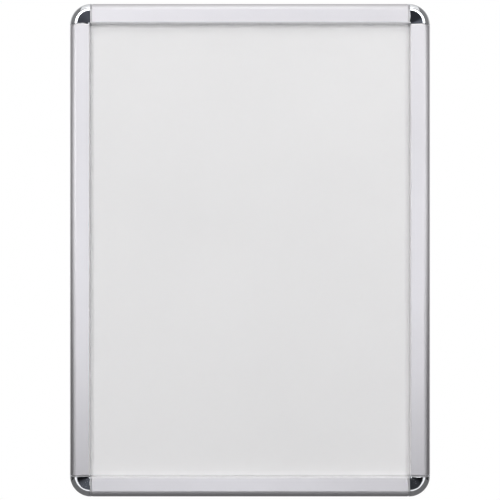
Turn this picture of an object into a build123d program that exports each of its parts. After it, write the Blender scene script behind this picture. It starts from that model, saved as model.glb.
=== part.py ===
from build123d import *
import os
from math import atan2, degrees, sqrt

# Snap-open poster frame, hung on a wall in portrait format.
# The wall is the plane y = 0, the front faces -Y, +Z is up, and the origin is the
# centre of the four wall-screw holes. A section is drawn in two coordinates: u runs
# inwards from the outer edge of a rail, v runs from the wall towards the viewer.

# The sheet and the outline, in millimetres
SHEET_W = 500.0
SHEET_H = 700.0
RAIL_W = 31.0
COVER_SHARE = 9 / 31
DEPTH = 14.0
CORNER_EXTRA = 1.5

# The stack between the base rails and the lips
PANEL_T = 1.5
POSTER_ROOM = 0.3
COVER_T = 0.5
LIP_CLEAR = 0.1
SHEET_CLEAR = 0.3

# The hinge: a bead on the base rail inside a socket on the flip rail
BEAD_R = 1.6
BEAD_CLEAR = 0.06
SOCKET_T = 1.2
STEM_T = 1.0
WALL_CLEAR = 0.35
HINGE_ANGLE = 152.0
MOUTH_START_ANGLE = 159.0
MOUTH_END_ANGLE = 291.0

# The flip rail
ROUND_SHARE = 6 / 7
FACE_FALL = 2.0
SKIN_T = 1.4
LIP_T = 1.4
EDGE_R = 0.7
LIP_FOOT_R = 0.4
FLIP_END_GAP = 0.3
BEVEL_LENGTH = 2.8
BEVEL_DEPTH = 1.0

# The base rail
WEB_T = 1.4
WALL_DROP = 2.1
RIB_T = 1.2
RIB_TOP = 6.3
LEDGE_T = 1.1
LEDGE_RISE = 1.1
WEB_EDGE_GAP = 0.6
CHANNEL_SHARE = 7 / 31

# The leaf springs and their seats
SPRING_T = 0.5
SPRING_W = 22.0
BOW_SHARE = 0.42
SEAT_R = 0.5
SEAT_PROUD = 0.25
SEAT_RISE = 3.6
LEG_SHARE = 0.92
LEG_TIP = 0.6
LEG_T = 1.4
LEG_ANGLE = -52.0
SHORT_SPRING_COUNT = 2
LONG_SPRING_COUNT = 3

# The corner cap
RING_FLAT = 1.6
CAP_STEP = 0.6
CAP_FALL = 2.1
CAP_T = 1.8
CAP_EDGE = 0.3
CAP_GAP = 0.3
BOSS_R = 3.2

# The corner key
KEY_CLEAR = 0.15
KEY_T = 2.5
KEY_LEG = 36.0
KEY_EDGE_R = 1.0

# The screws
SCREW_R = 1.5
SCREW_CLEAR = 0.15
THREAD_CLEAR = 0.05
HEAD_R = 2.6
SINK_ANGLE = 90.0
CAP_SCREW_L = 9.0
KEY_SCREW_L = 3.6
KEY_SCREW_INSET = 20.0
RECESS_R = 1.0
RECESS_DEPTH = 0.7

# The holes for the wall screws
WALL_HOLE_R = 2.25
WALL_HOLE_GAP = 13.5

# One overrun for every cut
OVER = 1.0

SHEET_U = RAIL_W - RAIL_W * COVER_SHARE
WIDTH = SHEET_W + 2 * SHEET_U
HEIGHT = SHEET_H + 2 * SHEET_U
CORNER = RAIL_W + CORNER_EXTRA

# The stack, from the web of the base rail outwards
PANEL_V = WEB_T
COVER_V = PANEL_V + PANEL_T + POSTER_ROOM
COVER_TOP = COVER_V + COVER_T
LEDGE_TOP = COVER_TOP + LEDGE_RISE

# The round outer edge, and the hinge that sits inside it
SOCKET_R = BEAD_R + BEAD_CLEAR + SOCKET_T
ROUND_R = DEPTH * ROUND_SHARE
ROUND_CENTRE = Vector(ROUND_R, DEPTH - ROUND_R)
HINGE_REACH = ROUND_R - SOCKET_R
HINGE = ROUND_CENTRE + Vector(HINGE_REACH, 0).rotate(Axis.Z, HINGE_ANGLE)

# The base rail, from its ledge for the sheets back to the rib for the springs
LEDGE_U = SHEET_U - SHEET_CLEAR
CHANNEL_OUT = LEDGE_U - LEDGE_T
CHANNEL_IN = CHANNEL_OUT - RAIL_W * CHANNEL_SHARE
CHANNEL_MID = (CHANNEL_OUT + CHANNEL_IN) / 2
RIB_U = CHANNEL_IN - RIB_T
WEB_END = RAIL_W - WEB_EDGE_GAP
WALL_TOP = HINGE.Y - WALL_DROP

# Where the two ends of a leaf spring sit while the rail is shut
LEG_REACH = (HINGE.Y - WEB_T) * LEG_SHARE
RIB_SEAT = Vector(RIB_U - SEAT_PROUD, WEB_T + SEAT_RISE)
LEG_DIRECTION = Vector(1, 0).rotate(Axis.Z, LEG_ANGLE)
LEG_SIDE = Vector(0, 1).rotate(Axis.Z, LEG_ANGLE)
LEG_SEAT = HINGE + LEG_DIRECTION * LEG_REACH + LEG_SIDE * (LEG_T / 2 + SEAT_PROUD)
SPRING_BOW = (RIB_SEAT - LEG_SEAT).length * BOW_SHARE

# The free ends of the rails, at the corner caps
SHORT_L = WIDTH - 2 * CORNER
LONG_L = HEIGHT - 2 * CORNER
WALL_HOLE_PITCH = SHORT_L - 2 * (KEY_LEG + WALL_HOLE_GAP)

# The screws of one corner, measured from the inner point of its cap
CAP_SCREW_PLACE = CORNER - CHANNEL_MID
KEY_SCREW_PLACES = [(-KEY_SCREW_INSET, CAP_SCREW_PLACE), (CAP_SCREW_PLACE, -KEY_SCREW_INSET)]


def face_v(u):
    """How far the sloping face of a flip rail stands from the wall at the distance u."""
    return DEPTH - FACE_FALL * (u - ROUND_R) / (RAIL_W - ROUND_R)


def side_plane(inward):
    """The section plane at the middle of one side: x runs inwards, y towards the viewer."""
    inward = Vector(*inward)
    edge = Vector(-inward.X * WIDTH / 2, 0, -inward.Z * HEIGHT / 2)
    return Plane(origin=edge, x_dir=inward, z_dir=inward.cross(Vector(0, -1, 0)))


SIDES = {
    "top": (side_plane((0, 0, -1)), SHORT_L, SHORT_SPRING_COUNT),
    "bottom": (side_plane((0, 0, 1)), SHORT_L, SHORT_SPRING_COUNT),
    "left": (side_plane((1, 0, 0)), LONG_L, LONG_SPRING_COUNT),
    "right": (side_plane((-1, 0, 0)), LONG_L, LONG_SPRING_COUNT),
}


def corner_plane(across, up):
    """The plane of one corner on the wall, facing the viewer: its origin is the inner point of
    the corner cap, and its first quadrant holds the cap."""
    inner = Vector(across * (WIDTH / 2 - CORNER), 0, up * (HEIGHT / 2 - CORNER))
    if across * up > 0:
        return Plane(origin=inner, x_dir=(across, 0, 0), z_dir=(0, -1, 0))
    return Plane(origin=inner, x_dir=(0, 0, up), z_dir=(0, -1, 0))


CORNERS = {
    "top_left": corner_plane(-1, 1),
    "top_right": corner_plane(1, 1),
    "bottom_left": corner_plane(-1, -1),
    "bottom_right": corner_plane(1, -1),
}


def base_section():
    """Base rail: web, outer wall, stem and bead of the hinge, spring rib and sheet ledge."""
    wall_angle = 180 - degrees(atan2(WALL_TOP - ROUND_CENTRE.Y, ROUND_R))
    wall_inner = HINGE.X - sqrt((SOCKET_R + WALL_CLEAR) ** 2 - (HINGE.Y - WALL_TOP) ** 2)
    with BuildSketch() as section:
        with BuildLine():
            side = Line((0, 0), (0, ROUND_CENTRE.Y))
            curve = CenterArc(ROUND_CENTRE, ROUND_R, 180, wall_angle - 180)
            inner = Polyline(
                curve @ 1,
                (wall_inner, (curve @ 1).Y),
                (wall_inner, WEB_T),
                (RIB_U, WEB_T),
                (RIB_U, RIB_TOP),
                (CHANNEL_IN, RIB_TOP),
                (CHANNEL_IN, WEB_T),
                (CHANNEL_OUT, WEB_T),
                (CHANNEL_OUT, LEDGE_TOP),
                (LEDGE_U, LEDGE_TOP),
                (LEDGE_U, WEB_T),
                (WEB_END, WEB_T),
                (WEB_END, 0),
            )
            Line(inner @ 1, side @ 0)
        make_face()
        with Locations((HINGE.X, (HINGE.Y + WEB_T) / 2)):
            Rectangle(STEM_T, HINGE.Y - WEB_T)
        with Locations(HINGE):
            Circle(BEAD_R)
        with Locations(RIB_SEAT):
            Circle(SEAT_R, mode=Mode.SUBTRACT)
    return section.sketch


def flip_section():
    """Flip rail: round outer edge, sloping face, lip, hinge socket and the leg for the springs."""
    with BuildSketch() as section:
        with BuildLine():
            edge = CenterArc(ROUND_CENTRE, ROUND_R, HINGE_ANGLE, 90 - HINGE_ANGLE)
            under = CenterArc(ROUND_CENTRE, ROUND_R - SKIN_T, HINGE_ANGLE, 90 - HINGE_ANGLE)
            Polyline(
                edge @ 1,
                (RAIL_W, face_v(RAIL_W)),
                (RAIL_W, COVER_TOP + LIP_CLEAR),
                (RAIL_W - LIP_T, COVER_TOP + LIP_CLEAR),
                (RAIL_W - LIP_T, face_v(RAIL_W - LIP_T) - SKIN_T),
                under @ 1,
            )
            Line(edge @ 0, under @ 0)
        make_face()
        lip = section.vertices().group_by(Axis.X)[-1].sort_by(Axis.Y)
        fillet(lip[-1], EDGE_R)
        fillet(lip[0], LIP_FOOT_R)
        with Locations(HINGE):
            Circle(SOCKET_R)
        with Locations(HINGE + LEG_DIRECTION * (LEG_REACH + LEG_TIP) / 2):
            Rectangle(LEG_REACH + LEG_TIP, LEG_T, rotation=LEG_ANGLE)
        with Locations(HINGE):
            Circle(BEAD_R + BEAD_CLEAR, mode=Mode.SUBTRACT)
        with BuildLine():
            mouth = CenterArc(
                HINGE, SOCKET_R + OVER, MOUTH_START_ANGLE, MOUTH_END_ANGLE - MOUTH_START_ANGLE
            )
            Line(HINGE, mouth @ 0)
            Line(HINGE, mouth @ 1)
        make_face(mode=Mode.SUBTRACT)
        with Locations(LEG_SEAT):
            Circle(SEAT_R, mode=Mode.SUBTRACT)
    return section.sketch


def spring_section():
    """Leaf spring of one side, bowed towards the viewer between the flip rail's leg and the rib."""
    with BuildSketch() as section:
        with BuildLine():
            SagittaArc(LEG_SEAT, RIB_SEAT, SPRING_BOW)
        trace(line_width=SPRING_T)
    return section.sketch


def base_rail(side):
    """Straight base rail of one side, with the sunk holes for its key screws."""
    plane, length = SIDES[side][:2]
    back = Plane(origin=plane.origin, x_dir=plane.x_dir, z_dir=(0, 1, 0))
    with BuildPart() as rail:
        with BuildSketch(plane):
            add(base_section())
        extrude(amount=length / 2, both=True)
        with Locations(back):
            with Locations((CHANNEL_MID, 0)):
                with GridLocations(0, length - 2 * KEY_SCREW_INSET, 1, 2):
                    CounterSinkHole(SCREW_R + SCREW_CLEAR, HEAD_R, WEB_T + OVER, SINK_ANGLE)
                if side in ("top", "bottom"):
                    with GridLocations(0, WALL_HOLE_PITCH, 1, 2):
                        Hole(WALL_HOLE_R, WEB_T + OVER)
    return rail


def bevel_section():
    """The wedge that a bevel takes off an end: x runs along the rail, y into its skin."""
    with BuildSketch() as section:
        with BuildLine():
            Polyline(
                (1.5 * BEVEL_LENGTH, -BEVEL_DEPTH / 2),
                (-BEVEL_LENGTH / 2, 1.5 * BEVEL_DEPTH),
                (-BEVEL_LENGTH / 2, -BEVEL_DEPTH / 2),
                close=True,
            )
        make_face()
    return section.sketch


def flip_rail(side):
    """Flip rail of one side, with a bevel across both ends of its round edge and face."""
    plane, length = SIDES[side][:2]
    face_run = plane.x_dir * (RAIL_W - ROUND_R) - plane.y_dir * FACE_FALL
    round_axis = Axis(plane.from_local_coords(ROUND_CENTRE), plane.z_dir)
    half = length / 2 - FLIP_END_GAP
    with BuildPart() as rail:
        with BuildSketch(plane):
            add(flip_section())
        extrude(amount=half, both=True)
        for end in (-1, 1):
            crest = plane.from_local_coords((ROUND_R, DEPTH, end * half))
            along = plane.z_dir * -end
            with BuildSketch(Plane(crest, x_dir=along, z_dir=face_run * -end)):
                add(bevel_section())
            extrude(amount=RAIL_W, dir=face_run.normalized(), mode=Mode.SUBTRACT)
            with BuildSketch(Plane(crest, x_dir=along, z_dir=plane.x_dir * -end)):
                add(bevel_section())
            revolve(axis=round_axis, revolution_arc=90, mode=Mode.SUBTRACT)
    return rail


def leaf_spring(side, place):
    """One leaf spring of a side, at its place along the rail."""
    plane = SIDES[side][0].offset(place)
    with BuildPart() as spring:
        with BuildSketch(plane):
            add(spring_section())
        extrude(amount=SPRING_W / 2, both=True)
    return spring


def meridian(corner):
    """The plane through a corner's upright axis: x runs outwards from it, y towards the viewer."""
    return Plane(origin=corner.origin, x_dir=corner.x_dir, z_dir=-corner.y_dir)


def cap_outline(inset, ring):
    """Half section of a cap, moved in by the inset. With the ring it has the round outer edge
    and the ring above the cone, and without it, for the hollow, two slopes and no ring."""
    rim = CORNER - ROUND_R
    step = rim - RING_FLAT
    cone_v = DEPTH - CAP_STEP - inset
    with BuildSketch() as section:
        with BuildLine():
            edge = CenterArc((rim, ROUND_CENTRE.Y), ROUND_R - inset, 0, 90, mode=Mode.PRIVATE)
            crest = []
            if ring:
                add(edge)
                crest = [(step + CAP_EDGE, DEPTH), (step, DEPTH - CAP_EDGE)]
            else:
                Polyline(edge @ 0, edge @ 0.5, edge @ 1)
            Polyline(
                edge @ 1,
                *crest,
                (step, cone_v),
                (0, cone_v - CAP_FALL),
                (0, 0),
                (CORNER - inset, 0),
                edge @ 0,
            )
        make_face()
    return section.sketch


def corner_cap(corner):
    """Corner cap: a quarter of a turned shell with two flat walls and a boss for its screw."""
    upright = Axis(corner.origin, corner.z_dir)
    notch = CORNER - CHANNEL_IN + CAP_GAP
    notch_top = max(WEB_T + KEY_T, COVER_TOP) + CAP_GAP
    with BuildPart() as hollow:
        with BuildSketch(meridian(corner)):
            add(cap_outline(CAP_T, ring=False))
        revolve(axis=upright, revolution_arc=90)
        for wall in (corner.x_dir, corner.y_dir):
            split(bisect_by=Plane(corner.origin + wall * CAP_T, z_dir=wall), keep=Keep.TOP)
    with BuildPart() as cap:
        with BuildSketch(meridian(corner)):
            add(cap_outline(0, ring=True))
        revolve(axis=upright, revolution_arc=90)
        add(hollow.part, mode=Mode.SUBTRACT)
        with BuildSketch(corner):
            Circle(CORNER - CAP_T)
        extrude(amount=WEB_T, mode=Mode.SUBTRACT)
        with BuildSketch(corner):
            Rectangle(notch, notch, align=Align.MIN)
        extrude(amount=notch_top, mode=Mode.SUBTRACT)
        with BuildSketch(corner.offset(WEB_T + KEY_T)):
            with Locations((CAP_SCREW_PLACE, CAP_SCREW_PLACE)):
                Circle(BOSS_R)
                Circle(SCREW_R + THREAD_CLEAR, mode=Mode.SUBTRACT)
        extrude(amount=DEPTH - CAP_T - WEB_T - KEY_T)
    return cap


def corner_key(corner):
    """Corner key: a quarter plate that carries the sheets' corner, and a leg for each channel."""
    near = CORNER - CHANNEL_OUT + KEY_CLEAR
    far = CORNER - CHANNEL_IN - KEY_CLEAR
    with BuildPart() as key:
        with BuildSketch(corner):
            Circle(CORNER - CAP_T - KEY_CLEAR)
            Rectangle(CORNER, CORNER, align=Align.MIN, mode=Mode.INTERSECT)
        extrude(amount=WEB_T)
        with BuildSketch(corner.offset(WEB_T)) as legs:
            with Locations((far, far)):
                Rectangle(far + KEY_LEG, far - near, align=Align.MAX)
                Rectangle(far - near, far + KEY_LEG, align=Align.MAX)
            tips = legs.vertices().group_by(Axis.X)[0] + legs.vertices().group_by(Axis.Y)[0]
            fillet(tips, KEY_EDGE_R)
        extrude(amount=KEY_T)
        with Locations(corner):
            with Locations(*[(x, y, WEB_T) for x, y in KEY_SCREW_PLACES]):
                Hole(SCREW_R + THREAD_CLEAR, KEY_T)
        back = Plane(corner.origin, x_dir=corner.x_dir, z_dir=-corner.z_dir)
        with Locations(back.location * Location((CAP_SCREW_PLACE, -CAP_SCREW_PLACE))):
            CounterSinkHole(SCREW_R + SCREW_CLEAR, HEAD_R, WEB_T + KEY_T, SINK_ANGLE)
    return key


def screw(head, length):
    """Countersunk screw on the plane of its head, with its point along -Z."""
    with BuildPart() as body:
        with BuildSketch(Plane(head.origin, x_dir=head.x_dir, z_dir=-head.y_dir)):
            with BuildLine():
                Polyline(
                    (0, 0),
                    (HEAD_R, 0),
                    (SCREW_R, SCREW_R - HEAD_R),
                    (SCREW_R, -length),
                    (0, -length),
                    close=True,
                )
            make_face()
        revolve(axis=Axis(head.origin, head.z_dir))
        with BuildSketch(head):
            RegularPolygon(RECESS_R, 6)
        extrude(amount=-RECESS_DEPTH, mode=Mode.SUBTRACT)
    return body


def back_plane(corner, place):
    """The plane at one place of a corner, on the back of the frame and facing the wall."""
    return Plane(corner.from_local_coords(place), x_dir=corner.x_dir, z_dir=-corner.z_dir)


def sheet(v, thickness):
    """A sheet of the full size that lies at the distance v from the wall."""
    with BuildPart() as slab:
        with BuildSketch(Plane.XZ.offset(v)):
            Rectangle(SHEET_W, SHEET_H)
        extrude(amount=thickness)
    return slab


def save(part, name):
    """Label a finished piece and write it under its own name."""
    part.label = name
    export_step(part, f"parts/{name}.step")


os.makedirs("parts", exist_ok=True)

for side, (plane, length, spring_count) in SIDES.items():
    save(base_rail(side).part, f"{side}_base_rail")
    save(flip_rail(side).part, f"{side}_flip_rail")
    for number in range(1, spring_count + 1):
        place = length * ((2 * number - 1) / (2 * spring_count) - 1 / 2)
        save(leaf_spring(side, place).part, f"{side}_leaf_spring_{number}")

cap_screws = []
key_screws = []
for name, corner in CORNERS.items():
    save(corner_cap(corner).part, f"{name}_corner_cap")
    save(corner_key(corner).part, f"{name}_corner_key")
    cap_screw_head = back_plane(corner, (CAP_SCREW_PLACE, CAP_SCREW_PLACE, 0))
    cap_screws.append(screw(cap_screw_head, CAP_SCREW_L).part)
    for x, y in KEY_SCREW_PLACES:
        key_screws.append(screw(back_plane(corner, (x, y, 0)), KEY_SCREW_L).part)
save(Compound(cap_screws), "cap_screws")
save(Compound(key_screws), "key_screws")

save(sheet(PANEL_V, PANEL_T).part, "back_panel")
save(sheet(COVER_V, COVER_T).part, "cover_sheet")
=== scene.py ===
from math import radians

import bmesh
import bpy
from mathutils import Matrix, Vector


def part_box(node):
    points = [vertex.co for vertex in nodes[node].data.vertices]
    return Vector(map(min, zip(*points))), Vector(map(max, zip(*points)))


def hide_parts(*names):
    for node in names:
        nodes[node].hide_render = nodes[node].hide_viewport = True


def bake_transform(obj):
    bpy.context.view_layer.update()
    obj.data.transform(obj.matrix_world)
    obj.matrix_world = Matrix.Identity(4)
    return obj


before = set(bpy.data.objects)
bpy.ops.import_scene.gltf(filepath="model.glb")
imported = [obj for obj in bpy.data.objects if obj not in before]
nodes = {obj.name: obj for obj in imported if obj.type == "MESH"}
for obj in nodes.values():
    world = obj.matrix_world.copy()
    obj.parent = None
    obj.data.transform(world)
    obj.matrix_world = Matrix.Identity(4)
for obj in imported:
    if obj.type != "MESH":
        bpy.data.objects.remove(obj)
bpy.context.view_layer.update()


# Flip rails
# The four front rails are aluminium extrusions, satin anodised, that snap shut over the poster.
# Each turns on the bead of its base rail. Each end is sawn and bevelled beside a corner. The wall
# of its lip and the bevelled tip of each end are painted near white: painted light, standing for
# the light these small faces catch.
class Wire:
    """One socket of a node tree. Arithmetic on it adds Math nodes to the tree."""

    def __init__(self, tree, socket=None):
        self.tree = tree
        self.socket = socket

    def node(self, kind, settings=None, inputs=None, output=0):
        """Adds a node, applies its settings, then sets or links its sockets."""
        made = self.tree.nodes.new("ShaderNode" + kind)
        for key, value in (settings or {}).items():
            setattr(made, key, value)
        for key, value in (inputs or {}).items():
            if isinstance(value, Wire):
                self.tree.links.new(value.socket, made.inputs[key])
            else:
                made.inputs[key].default_value = value
        return Wire(self.tree, made.outputs[output] if made.outputs else None)

    def end(self, kind, socket):
        """Adds the output node of the tree and links this shader to it."""
        self.node("Output" + kind, inputs={socket: self})

    def math(self, operation, *values):
        return self.node("Math", {"operation": operation}, dict(enumerate(values)))

    def __add__(self, other):
        return self.math("ADD", self, other)

    def __radd__(self, other):
        return self.math("ADD", other, self)

    def __sub__(self, other):
        return self.math("SUBTRACT", self, other)

    def __rsub__(self, other):
        return self.math("SUBTRACT", other, self)

    def __mul__(self, other):
        return self.math("MULTIPLY", self, other)

    def __rmul__(self, other):
        return self.math("MULTIPLY", other, self)

    def ramp(self, low, high, from_low=0.3, from_high=0.7):
        """Spreads the range from_low to from_high smoothly over low to high."""
        spread = {0: self, 1: from_low, 2: from_high, 3: low, 4: high}
        return self.node("MapRange", {"interpolation_type": "SMOOTHSTEP"}, spread)

    def mix_color(self, low, high):
        """Mixes two colours, with this socket as the factor."""
        return self.node("Mix", {"data_type": "RGBA"}, {0: self, 6: low, 7: high}, output=2)

    def noise(self, scale, detail=2.0):
        """Noise over these coordinates."""
        return self.node("TexNoise", inputs={"Vector": self, "Scale": scale, "Detail": detail})

    def bump(self, strength, distance):
        """A normal from this height."""
        sunk = {"Height": self, "Strength": strength, "Distance": distance}
        return self.node("Bump", inputs=sunk)


def new_material(name):
    """A material with an empty tree, and the object coordinates in it."""
    material = bpy.data.materials.new(name)
    material.use_nodes = True
    material.node_tree.nodes.clear()
    place = Wire(material.node_tree).node("TexCoord", output="Object")
    return material, place


def surface(place, **inputs):
    """Ends a material's tree in one Principled surface with these sockets."""
    named = {key.replace("_", " "): value for key, value in inputs.items()}
    place.node("BsdfPrincipled", inputs=named).end("Material", "Surface")


def dress(names, material):
    """Gives these CAD nodes one material."""
    for name in names:
        mesh = nodes[name].data
        mesh.materials.clear()
        mesh.materials.append(material)


SIDES = {"X": ("top", "bottom"), "Z": ("left", "right")}
AXES = {"X": 0, "Z": 2}
LINES_ACROSS = 700.0
LINES_ALONG = 1.5
LINE_SHARE = 0.6
LINE_ROUGH = 0.03
GLANCE_ROUGH = 0.3
GLANCE = (0.25, 0.75)
# Painted light: near white for the lip wall and the bevelled tips, standing for the light they
# catch.
PAINTED_LIGHT = (0.93, 0.925, 0.935, 1.0)
PAINTED_TIP_LENGTH = 0.0013
END_FADE = 0.0002
WALL_SKIN = 0.0001
WALL_FADE = 0.0003


def extruded(name, along, color, dark, metallic, rough, painted_light_bounds=None):
    """Aluminium as the die leaves it, with faint lines along the rail, shinier at a glance.

    The two bounds are distances from the frame's middle: across the rail to its lip wall, and
    along it to the start of its bevelled tip. Past them the colour is painted near white, a
    painted highlight standing for the light these small faces catch.
    """
    material, place = new_material(name)
    stretch = [LINES_ACROSS] * 3
    stretch[AXES[along]] = LINES_ALONG
    mapped = place.node("Mapping", inputs={"Vector": place, "Scale": stretch})
    lines = mapped.noise(scale=1.0, detail=3.0)
    cloud = place.noise(scale=9.0)
    grain = place.noise(scale=2600.0)
    tone = lines.ramp(0.0, LINE_SHARE) + cloud.ramp(0.0, 1 - LINE_SHARE)
    shade = tone.mix_color(dark, color)
    # Painted highlight: past these bounds the lip wall and the bevelled tip are mixed to near
    # white.
    if painted_light_bounds:
        lip, tip = painted_light_bounds
        x, z = (
            place.node("SeparateXYZ", inputs={"Vector": place}, output=axis)
            for axis in AXES.values()
        )
        inward, endward = (z, x) if along == "X" else (x, z)
        skin = lip + WALL_SKIN
        wall = inward.math("ABSOLUTE", inward).ramp(1.0, 0.0, skin, skin + WALL_FADE)
        end = endward.math("ABSOLUTE", endward).ramp(0.0, 1.0, tip, tip + END_FADE)
        shade = wall.math("MAXIMUM", wall, end).mix_color(shade, PAINTED_LIGHT)
    facing = place.node("LayerWeight", inputs={"Blend": 0.5}, output="Facing")
    dullness = lines.ramp(-LINE_ROUGH, LINE_ROUGH) + facing.ramp(rough, GLANCE_ROUGH, *GLANCE)
    relief = lines * LINE_SHARE + grain * (1 - LINE_SHARE)
    surface(
        place,
        Base_Color=shade,
        Metallic=metallic,
        Roughness=dullness,
        Normal=relief.bump(strength=0.12, distance=0.0001),
    )
    return material


ANODISED = (0.595, 0.585, 0.605, 1.0)
ANODISED_DARK = (0.565, 0.555, 0.575, 1.0)
ANODISED_METAL = 1.0
ANODISED_ROUGH = 0.47
top_low, top_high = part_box("top_flip_rail")
right_low, right_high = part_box("right_flip_rail")
# Where the painted light on each rail begins: its lip wall and the bevelled tips of its ends.
painted_light_bounds = {
    "X": (top_low.z, top_high.x - PAINTED_TIP_LENGTH),
    "Z": (right_low.x, right_high.z - PAINTED_TIP_LENGTH),
}
for along, sides in SIDES.items():
    satin = extruded(
        f"satin anodised {along}",
        along,
        ANODISED,
        ANODISED_DARK,
        ANODISED_METAL,
        ANODISED_ROUGH,
        painted_light_bounds[along],
    )
    dress([f"{side}_flip_rail" for side in sides], satin)


# Base rails
# The four rails behind are extruded from the same alloy and left as the die makes them, screwed to
# the wall and to the corner keys. They show from the side, from behind, and behind an open rail.
MILL = (0.57, 0.57, 0.585, 1.0)
MILL_DARK = (0.51, 0.51, 0.525, 1.0)
MILL_METAL = 0.85
MILL_ROUGH = 0.48
for along, sides in SIDES.items():
    mill = extruded(f"mill aluminium {along}", along, MILL, MILL_DARK, MILL_METAL, MILL_ROUGH)
    dress([f"{side}_base_rail" for side in sides], mill)


# Corner caps
# The rounded corners are plastic mouldings with bright chrome plate, each held from behind by a
# screw. A raised ring runs round the outside, and a shallow cone fills the quarter inside it.
CORNERS = ("top_left", "top_right", "bottom_left", "bottom_right")
CHROME = (0.71, 0.72, 0.74, 1.0)
CHROME_ROUGH = (0.03, 0.06)
chrome, place = new_material("chrome plate")
surface(
    place,
    Base_Color=CHROME,
    Metallic=1.0,
    Roughness=place.noise(scale=70.0, detail=3.0).ramp(*CHROME_ROUGH),
    Normal=place.noise(scale=90.0, detail=0.0).bump(strength=0.06, distance=0.0002),
)
dress([f"{corner}_corner_cap" for corner in CORNERS], chrome)


# Corner keys and screws
# Zinc-plated steel keys join the base rails inside their channels. Countersunk screws hold them
# from behind, and one more in each corner holds the cap.
ZINC = (0.52, 0.53, 0.56, 1.0)
ZINC_DARK = (0.43, 0.44, 0.48, 1.0)
ZINC_ROUGH = 0.32
SCREW = (0.58, 0.57, 0.53, 1.0)
SCREW_DARK = (0.49, 0.48, 0.45, 1.0)
SCREW_ROUGH = 0.28
DULLER = 0.12


def plated(name, color, dark, rough):
    """Plated steel: a soft cloudy tone over a dull shine."""
    material, place = new_material(name)
    cloud = place.noise(scale=90.0, detail=4.0)
    surface(
        place,
        Base_Color=cloud.ramp(0.0, 1.0).mix_color(dark, color),
        Metallic=1.0,
        Roughness=cloud.ramp(rough, rough + DULLER),
    )
    return material


zinc = plated("zinc plate", ZINC, ZINC_DARK, ZINC_ROUGH)
dress([f"{corner}_corner_key" for corner in CORNERS], zinc)
steel = plated("screw steel", SCREW, SCREW_DARK, SCREW_ROUGH)
dress(["cap_screws", "key_screws"], steel)


# Leaf springs
# Small arched leaves of blued spring steel stand between the rib of a base rail and the leg of its
# flip rail. The rail squeezes them most a third of the way round, so they push it shut or open.
WELD = 0.00001
BLUED = (0.16, 0.18, 0.24, 1.0)
BLUED_DARK = (0.10, 0.11, 0.15, 1.0)
BLUED_ROUGH = 0.25
blued = plated("blued spring steel", BLUED, BLUED_DARK, BLUED_ROUGH)
for name in [name for name in nodes if "leaf_spring" in name]:
    leaf = bmesh.new()
    leaf.from_mesh(nodes[name].data)
    bmesh.ops.remove_doubles(leaf, verts=leaf.verts, dist=WELD)
    mesh = bpy.data.meshes.new(f"{name}_bent")
    leaf.to_mesh(mesh)
    leaf.free()
    mesh.materials.append(blued)
    spring = bpy.data.objects.new(f"{name}_bent", mesh)
    bpy.context.scene.collection.objects.link(spring)
    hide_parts(name)
    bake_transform(spring)


# Back panel
# A sheet of white polystyrene that the poster lies on, cut to the poster's size and laid inside
# the ledges of the base rails. It is seen whole because the frame is empty.
PANEL = (0.835, 0.825, 0.825, 1.0)
PANEL_DARK = (0.815, 0.805, 0.805, 1.0)
panel, place = new_material("white polystyrene")
cloud = place.noise(scale=3.0).ramp(0.0, 1.0)
surface(place, Base_Color=cloud.mix_color(PANEL_DARK, PANEL), Roughness=0.6)
dress(["back_panel"], panel)


# Cover sheet
# Clear plastic with an anti-glare surface, laid over the panel under the lips of the flip rails.
# It veils the panel a little and softens reflections.
VEIL = (0.88, 0.885, 0.89, 1.0)
VEIL_ALPHA = (0.07, 0.13)
clear, place = new_material("anti glare sheet")
grain = place.noise(scale=900.0)
surface(
    place,
    Base_Color=VEIL,
    Roughness=0.42,
    Alpha=grain.ramp(*VEIL_ALPHA),
    Normal=grain.bump(strength=0.1, distance=0.0002),
)
dress(["cover_sheet"], clear)


# Floor
# A plain pale floor, far enough below that the frame hangs at the height of a person's eyes. It
# is pale to the camera and dark to the rails, whose lower edges mirror a dim room.
HANGING_HEIGHT = 1.5
FLOOR_SIZE = 5.0
PALE = (0.9, 0.9, 0.89, 1.0)
DIM = (0.25, 0.25, 0.25, 1.0)
PALE_GLOW = (0.4, 0.4, 0.4, 1.0)
NO_GLOW = (0.0, 0.0, 0.0, 1.0)
slab = bmesh.new()
bmesh.ops.create_grid(slab, x_segments=1, y_segments=1, size=FLOOR_SIZE / 2)
bmesh.ops.translate(slab, verts=slab.verts, vec=(0, 0, -HANGING_HEIGHT))
floor_mesh = bpy.data.meshes.new("floor")
slab.to_mesh(floor_mesh)
slab.free()
floor = bpy.data.objects.new("floor", floor_mesh)
bpy.context.scene.collection.objects.link(floor)
pale, place = new_material("pale floor")
camera_ray = place.node("LightPath", output="Is Camera Ray")
surface(
    place,
    Base_Color=camera_ray.mix_color(DIM, PALE),
    Roughness=0.8,
    Emission_Color=camera_ray.mix_color(NO_GLOW, PALE_GLOW),
    Emission_Strength=1.0,
)
floor_mesh.materials.append(pale)


# Light
# A softbox stands just below the lens in a dark place. Round that are a ring of light, a strong
# strip at each side and a bank overhead. The room is dim, darkest below and lighter behind the
# frame, where the camera sees white paper. Softboxes hang above the frame and at both sides.
WHITE = (1.0, 1.0, 1.0, 1.0)
COOL = (0.88, 0.94, 1.1, 1.0)

# These are strengths of light. A loss is how much weaker a light is at the far right.
RING = 1.05
RING_LOSS = 0.2
STRIP = 4.5
STRIP_LOSS = 1.1
BANK = 1.4
ROOM_LOW = 0.05
ROOM_HIGH = 0.27
REAR = 0.6
LENS = 9.5
DARK_LEFT = 0.12
DARK_RIGHT = 0.035
DARK_FOOT_SHARE = 0.1
GLOW = 0.14

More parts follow.
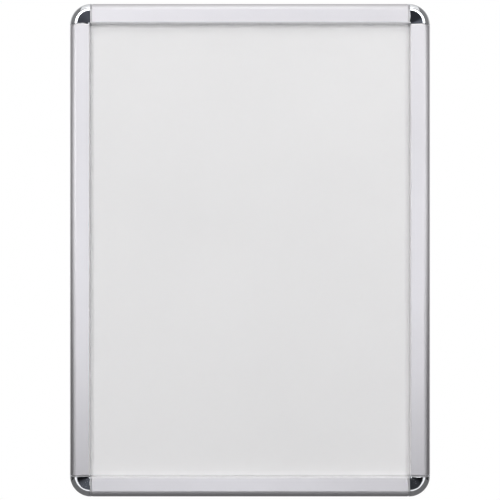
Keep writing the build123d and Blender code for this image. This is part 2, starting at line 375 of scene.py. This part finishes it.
# These are parts of a direction, from -1 to 1. A pair is where a fade begins and where it ends.
STRIP_HEIGHT = 0.26
LENS_DROP = 0.05
DARK_RIM = (-0.925, -0.895)
RING_RIM = (-0.82, -0.74)
STRIP_RIM = (-0.85, -0.78)
STRIP_REACH = (0.0, 0.46)
BANK_RIM = (-0.50, -0.42)
BANK_FOOT = (0.60, 0.72)
BANK_SIDE = (0.15, 0.45)
ROOM_FADE = (-0.3, 0.5)
REAR_FADE = (0.1, 0.5)
LENS_RIM = (-0.9945, -0.988)
LENS_TOP = (-0.06, 0.04)
DARK_FADE = (-0.2, 0.1)
DARK_FOOT = (-0.30, -0.22)
GLOW_FOOT = (0.25, 0.31)
GLOW_SIDE = (-0.02, 0.06)
PAPER_RIM = (0.95, 0.98)
world = bpy.data.worlds.new("studio")
bpy.context.scene.world = world
world.use_nodes = True
world.node_tree.nodes.clear()

# East is to the right of the frame, and north is away from the camera.
toward = Wire(world.node_tree).node("TexCoord", output="Generated")
east, north, up = (
    toward.node("SeparateXYZ", inputs={"Vector": toward}, output=axis) for axis in range(3)
)
aside = east.math("ABSOLUTE", east)
level = up.math("ABSOLUTE", up - STRIP_HEIGHT)
outside = north.ramp(0.0, 1.0, *DARK_RIM)
ring = (RING - up - RING_LOSS * east) * north.ramp(1.0, 0.0, *RING_RIM)
strips = (STRIP - STRIP_LOSS * east) * level.ramp(1.0, 0.0, *STRIP_REACH)
strips = strips * north.ramp(1.0, 0.0, *STRIP_RIM)
bank = BANK * up.ramp(0.0, 1.0, *BANK_FOOT) * aside.ramp(1.0, 0.0, *BANK_SIDE)
bank = bank * north.ramp(1.0, 0.0, *BANK_RIM)
room = up.ramp(ROOM_LOW, ROOM_HIGH, *ROOM_FADE)
rear = north.ramp(0.0, REAR, *REAR_FADE)
lens = (north + LENS_DROP * up).ramp(1.0, 0.0, *LENS_RIM) * up.ramp(1.0, 0.0, *LENS_TOP)

# The dark place is a little lighter at its left and above to its right, and darkest at its foot.
dark = east.ramp(DARK_LEFT, DARK_RIGHT, *DARK_FADE) * up.ramp(DARK_FOOT_SHARE, 1.0, *DARK_FOOT)
glow = up.ramp(0.0, 1.0, *GLOW_FOOT) * east.ramp(0.0, GLOW, *GLOW_SIDE)
lit = outside * (ring + strips + bank + room + rear)
studio = toward.node(
    "Background",
    inputs={
        "Color": (outside + lens).mix_color(COOL, WHITE),
        "Strength": lit + LENS * lens + (1.0 - outside) * (dark + glow),
    },
)
camera_ray, glossy_ray, clear_ray = (
    toward.node("LightPath", output=kind)
    for kind in ("Is Camera Ray", "Is Glossy Ray", "Is Transmission Ray")
)
behind = north.ramp(0.0, 1.0, *PAPER_RIM)
paper = toward.node("Background", inputs={"Color": WHITE, "Strength": 1.0})
seen = camera_ray + (glossy_ray + clear_ray) * behind
toward.node("MixShader", inputs={0: seen, 1: studio, 2: paper}).end("World", "Surface")


def softbox(name, place, size, watts):
    """A rectangular white lamp at a place, turned to the middle of the frame."""
    light = bpy.data.lights.new(name, "AREA")
    light.shape = "RECTANGLE"
    light.size, light.size_y = size
    light.energy = watts
    lamp = bpy.data.objects.new(name, light)
    lamp.location = place
    lamp.rotation_euler = (-Vector(place)).to_track_quat("-Z", "Y").to_euler()
    bpy.context.scene.collection.objects.link(lamp)


softbox("top softbox", place=(0.0, -0.3, 1.2), size=(1.6, 1.0), watts=3.8)
softbox("left fill", place=(-1.1, -0.6, 0.2), size=(0.8, 0.8), watts=1.4)
softbox("right fill", place=(1.1, -0.6, 0.2), size=(0.8, 0.8), watts=1.7)


# Camera
# It faces the middle of the frame squarely, just under a metre away. That was found by fitting the
# outline, the inner edges of the rails' faces and the corner joints.
IMAGE = 500
SENSOR = 36.0
DISTANCE = 0.915
FOCAL_PX = 602.9
SHIFT_PX = 0.2
camera_data = bpy.data.cameras.new("camera")
camera_data.sensor_width = SENSOR
camera_data.lens = FOCAL_PX * SENSOR / IMAGE
camera_data.shift_y = SHIFT_PX / IMAGE
camera = bpy.data.objects.new("camera", camera_data)
camera.location = (0, -DISTANCE, 0)
camera.rotation_euler = (radians(90), 0, 0)
bpy.context.scene.collection.objects.link(camera)
bpy.context.scene.camera = camera
bpy.context.scene.view_settings.view_transform = "Standard"
